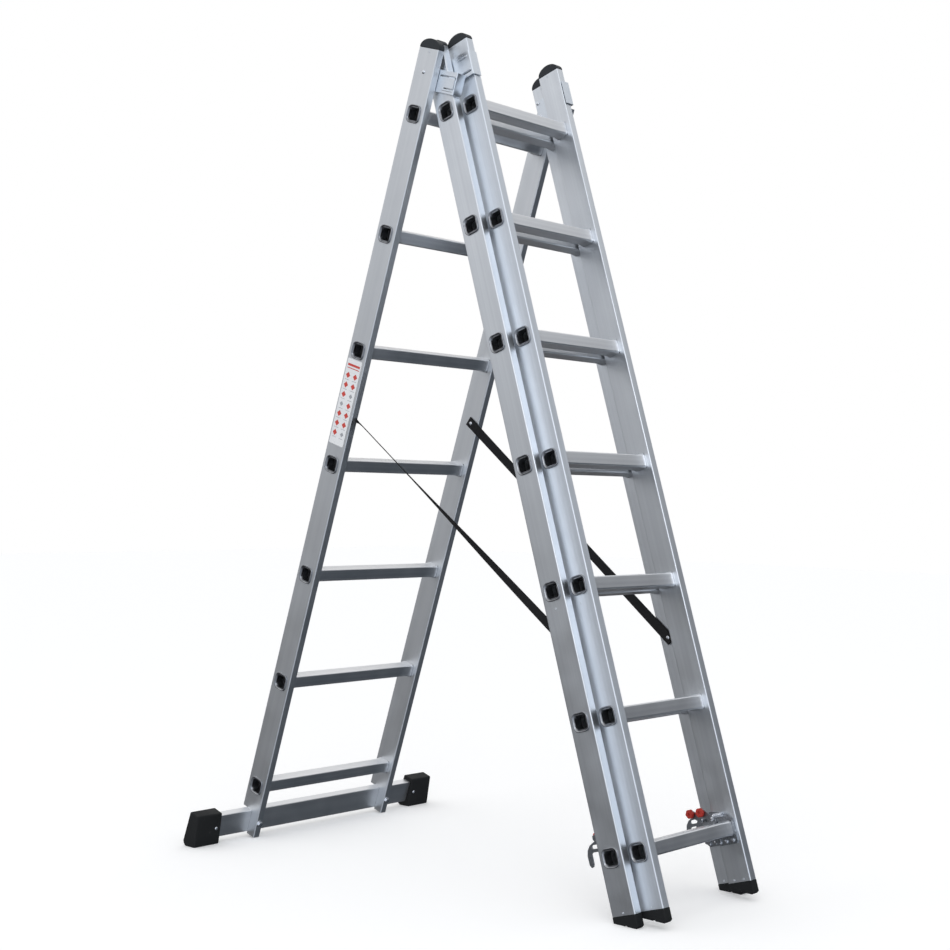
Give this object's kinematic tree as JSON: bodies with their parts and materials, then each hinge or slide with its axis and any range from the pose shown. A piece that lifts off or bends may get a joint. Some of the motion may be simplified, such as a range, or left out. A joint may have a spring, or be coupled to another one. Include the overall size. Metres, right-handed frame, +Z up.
{
  "type": "multi position ladder",
  "caption": "Aluminium combination ladder with nested sections, standing as an A-frame on feet and a stabiliser bar, with restraint straps and locking rung hooks.",
  "frame": {"origin": "on the floor, at the middle of the outer box", "axes": "+X along the rungs, +Z up, -Y towards the climbing side (front section)"},
  "size_m": [0.814, 1.2636, 1.9191],
  "materials": {
    "extruded_aluminium": "mill finish extrusion with fine long grain",
    "zinc_steel": "zinc plated sheet steel",
    "cap_plastic": "moulded satin black plastic",
    "foot_rubber": "matt black rubber",
    "knob_plastic": "moulded red plastic",
    "webbing": "woven black strap"
  },
  "bodies": {
    "rear_section": {"bar_bolt_left": "zinc_steel", "bar_bolt_right": "zinc_steel", "hinge_bracket_left": "zinc_steel", "hinge_bracket_right": "zinc_steel", "rear_cap_left": "cap_plastic", "rear_cap_right": "cap_plastic", "rear_rung_1": "extruded_aluminium", "rear_rung_2": "extruded_aluminium", "rear_rung_3": "extruded_aluminium", "rear_rung_4": "extruded_aluminium", "rear_rung_5": "extruded_aluminium", "rear_rung_6": "extruded_aluminium", "rear_rung_7": "extruded_aluminium", "rear_stile_left": "extruded_aluminium", "rear_stile_right": "extruded_aluminium", "stabiliser_bar": "extruded_aluminium", "stabiliser_shoe_left": "foot_rubber", "stabiliser_shoe_right": "foot_rubber", "strap_left": "webbing", "strap_right": "webbing"},
    "middle_section": {"guide_bracket_left": "zinc_steel", "guide_bracket_right": "zinc_steel", "middle_cap_left": "cap_plastic", "middle_cap_right": "cap_plastic", "middle_foot_left": "foot_rubber", "middle_foot_right": "foot_rubber", "middle_hook_left": "zinc_steel", "middle_hook_right": "zinc_steel", "middle_rung_1": "extruded_aluminium", "middle_rung_2": "extruded_aluminium", "middle_rung_3": "extruded_aluminium", "middle_rung_4": "extruded_aluminium", "middle_rung_5": "extruded_aluminium", "middle_rung_6": "extruded_aluminium", "middle_rung_7": "extruded_aluminium", "middle_stile_left": "extruded_aluminium", "middle_stile_right": "extruded_aluminium"},
    "front_section": {"front_cap_left": "cap_plastic", "front_cap_right": "cap_plastic", "front_foot_left": "foot_rubber", "front_foot_right": "foot_rubber", "front_hook_left": "zinc_steel", "front_hook_right": "zinc_steel", "front_rung_1": "extruded_aluminium", "front_rung_2": "extruded_aluminium", "front_rung_3": "extruded_aluminium", "front_rung_4": "extruded_aluminium", "front_rung_5": "extruded_aluminium", "front_rung_6": "extruded_aluminium", "front_rung_7": "extruded_aluminium", "front_stile_left": "extruded_aluminium", "front_stile_right": "extruded_aluminium"},
    "middle_latch_left": {"middle_knob_left": "knob_plastic", "middle_latch_left": "zinc_steel"},
    "middle_latch_right": {"middle_knob_right": "knob_plastic", "middle_latch_right": "zinc_steel"},
    "front_latch_left": {"front_knob_left": "knob_plastic", "front_latch_left": "zinc_steel"},
    "front_latch_right": {"front_knob_right": "knob_plastic", "front_latch_right": "zinc_steel"}
  },
  "joints": [
    {"name": "fold", "type": "hinge", "parent": "rear_section", "child": "middle_section", "pos_m": [0, 0.02649, 1.77491], "axis": [1, 0, 0], "range_deg": [0, 33.1], "deforming": ["strap_left", "strap_right"]},
    {"name": "front_slide", "type": "slide", "parent": "middle_section", "child": "front_section", "axis": [0, 0.299, 0.9542], "range_m": [0, 0.2]},
    {"name": "middle_latch_left_turn", "type": "hinge", "parent": "middle_section", "child": "middle_latch_left", "pos_m": [0, -0.48054, 0.14861], "axis": [1, 0, 0], "range_deg": [0, 11.3]},
    {"name": "middle_latch_right_turn", "type": "hinge", "parent": "middle_section", "child": "middle_latch_right", "pos_m": [0, -0.48054, 0.14861], "axis": [1, 0, 0], "range_deg": [0, 11.3]},
    {"name": "front_latch_left_turn", "type": "hinge", "parent": "front_section", "child": "front_latch_left", "pos_m": [0, -0.5273, 0.16326], "axis": [1, 0, 0], "range_deg": [0, 11.3]},
    {"name": "front_latch_right_turn", "type": "hinge", "parent": "front_section", "child": "front_latch_right", "pos_m": [0, -0.5273, 0.16326], "axis": [1, 0, 0], "range_deg": [0, 11.3]}
  ]
}
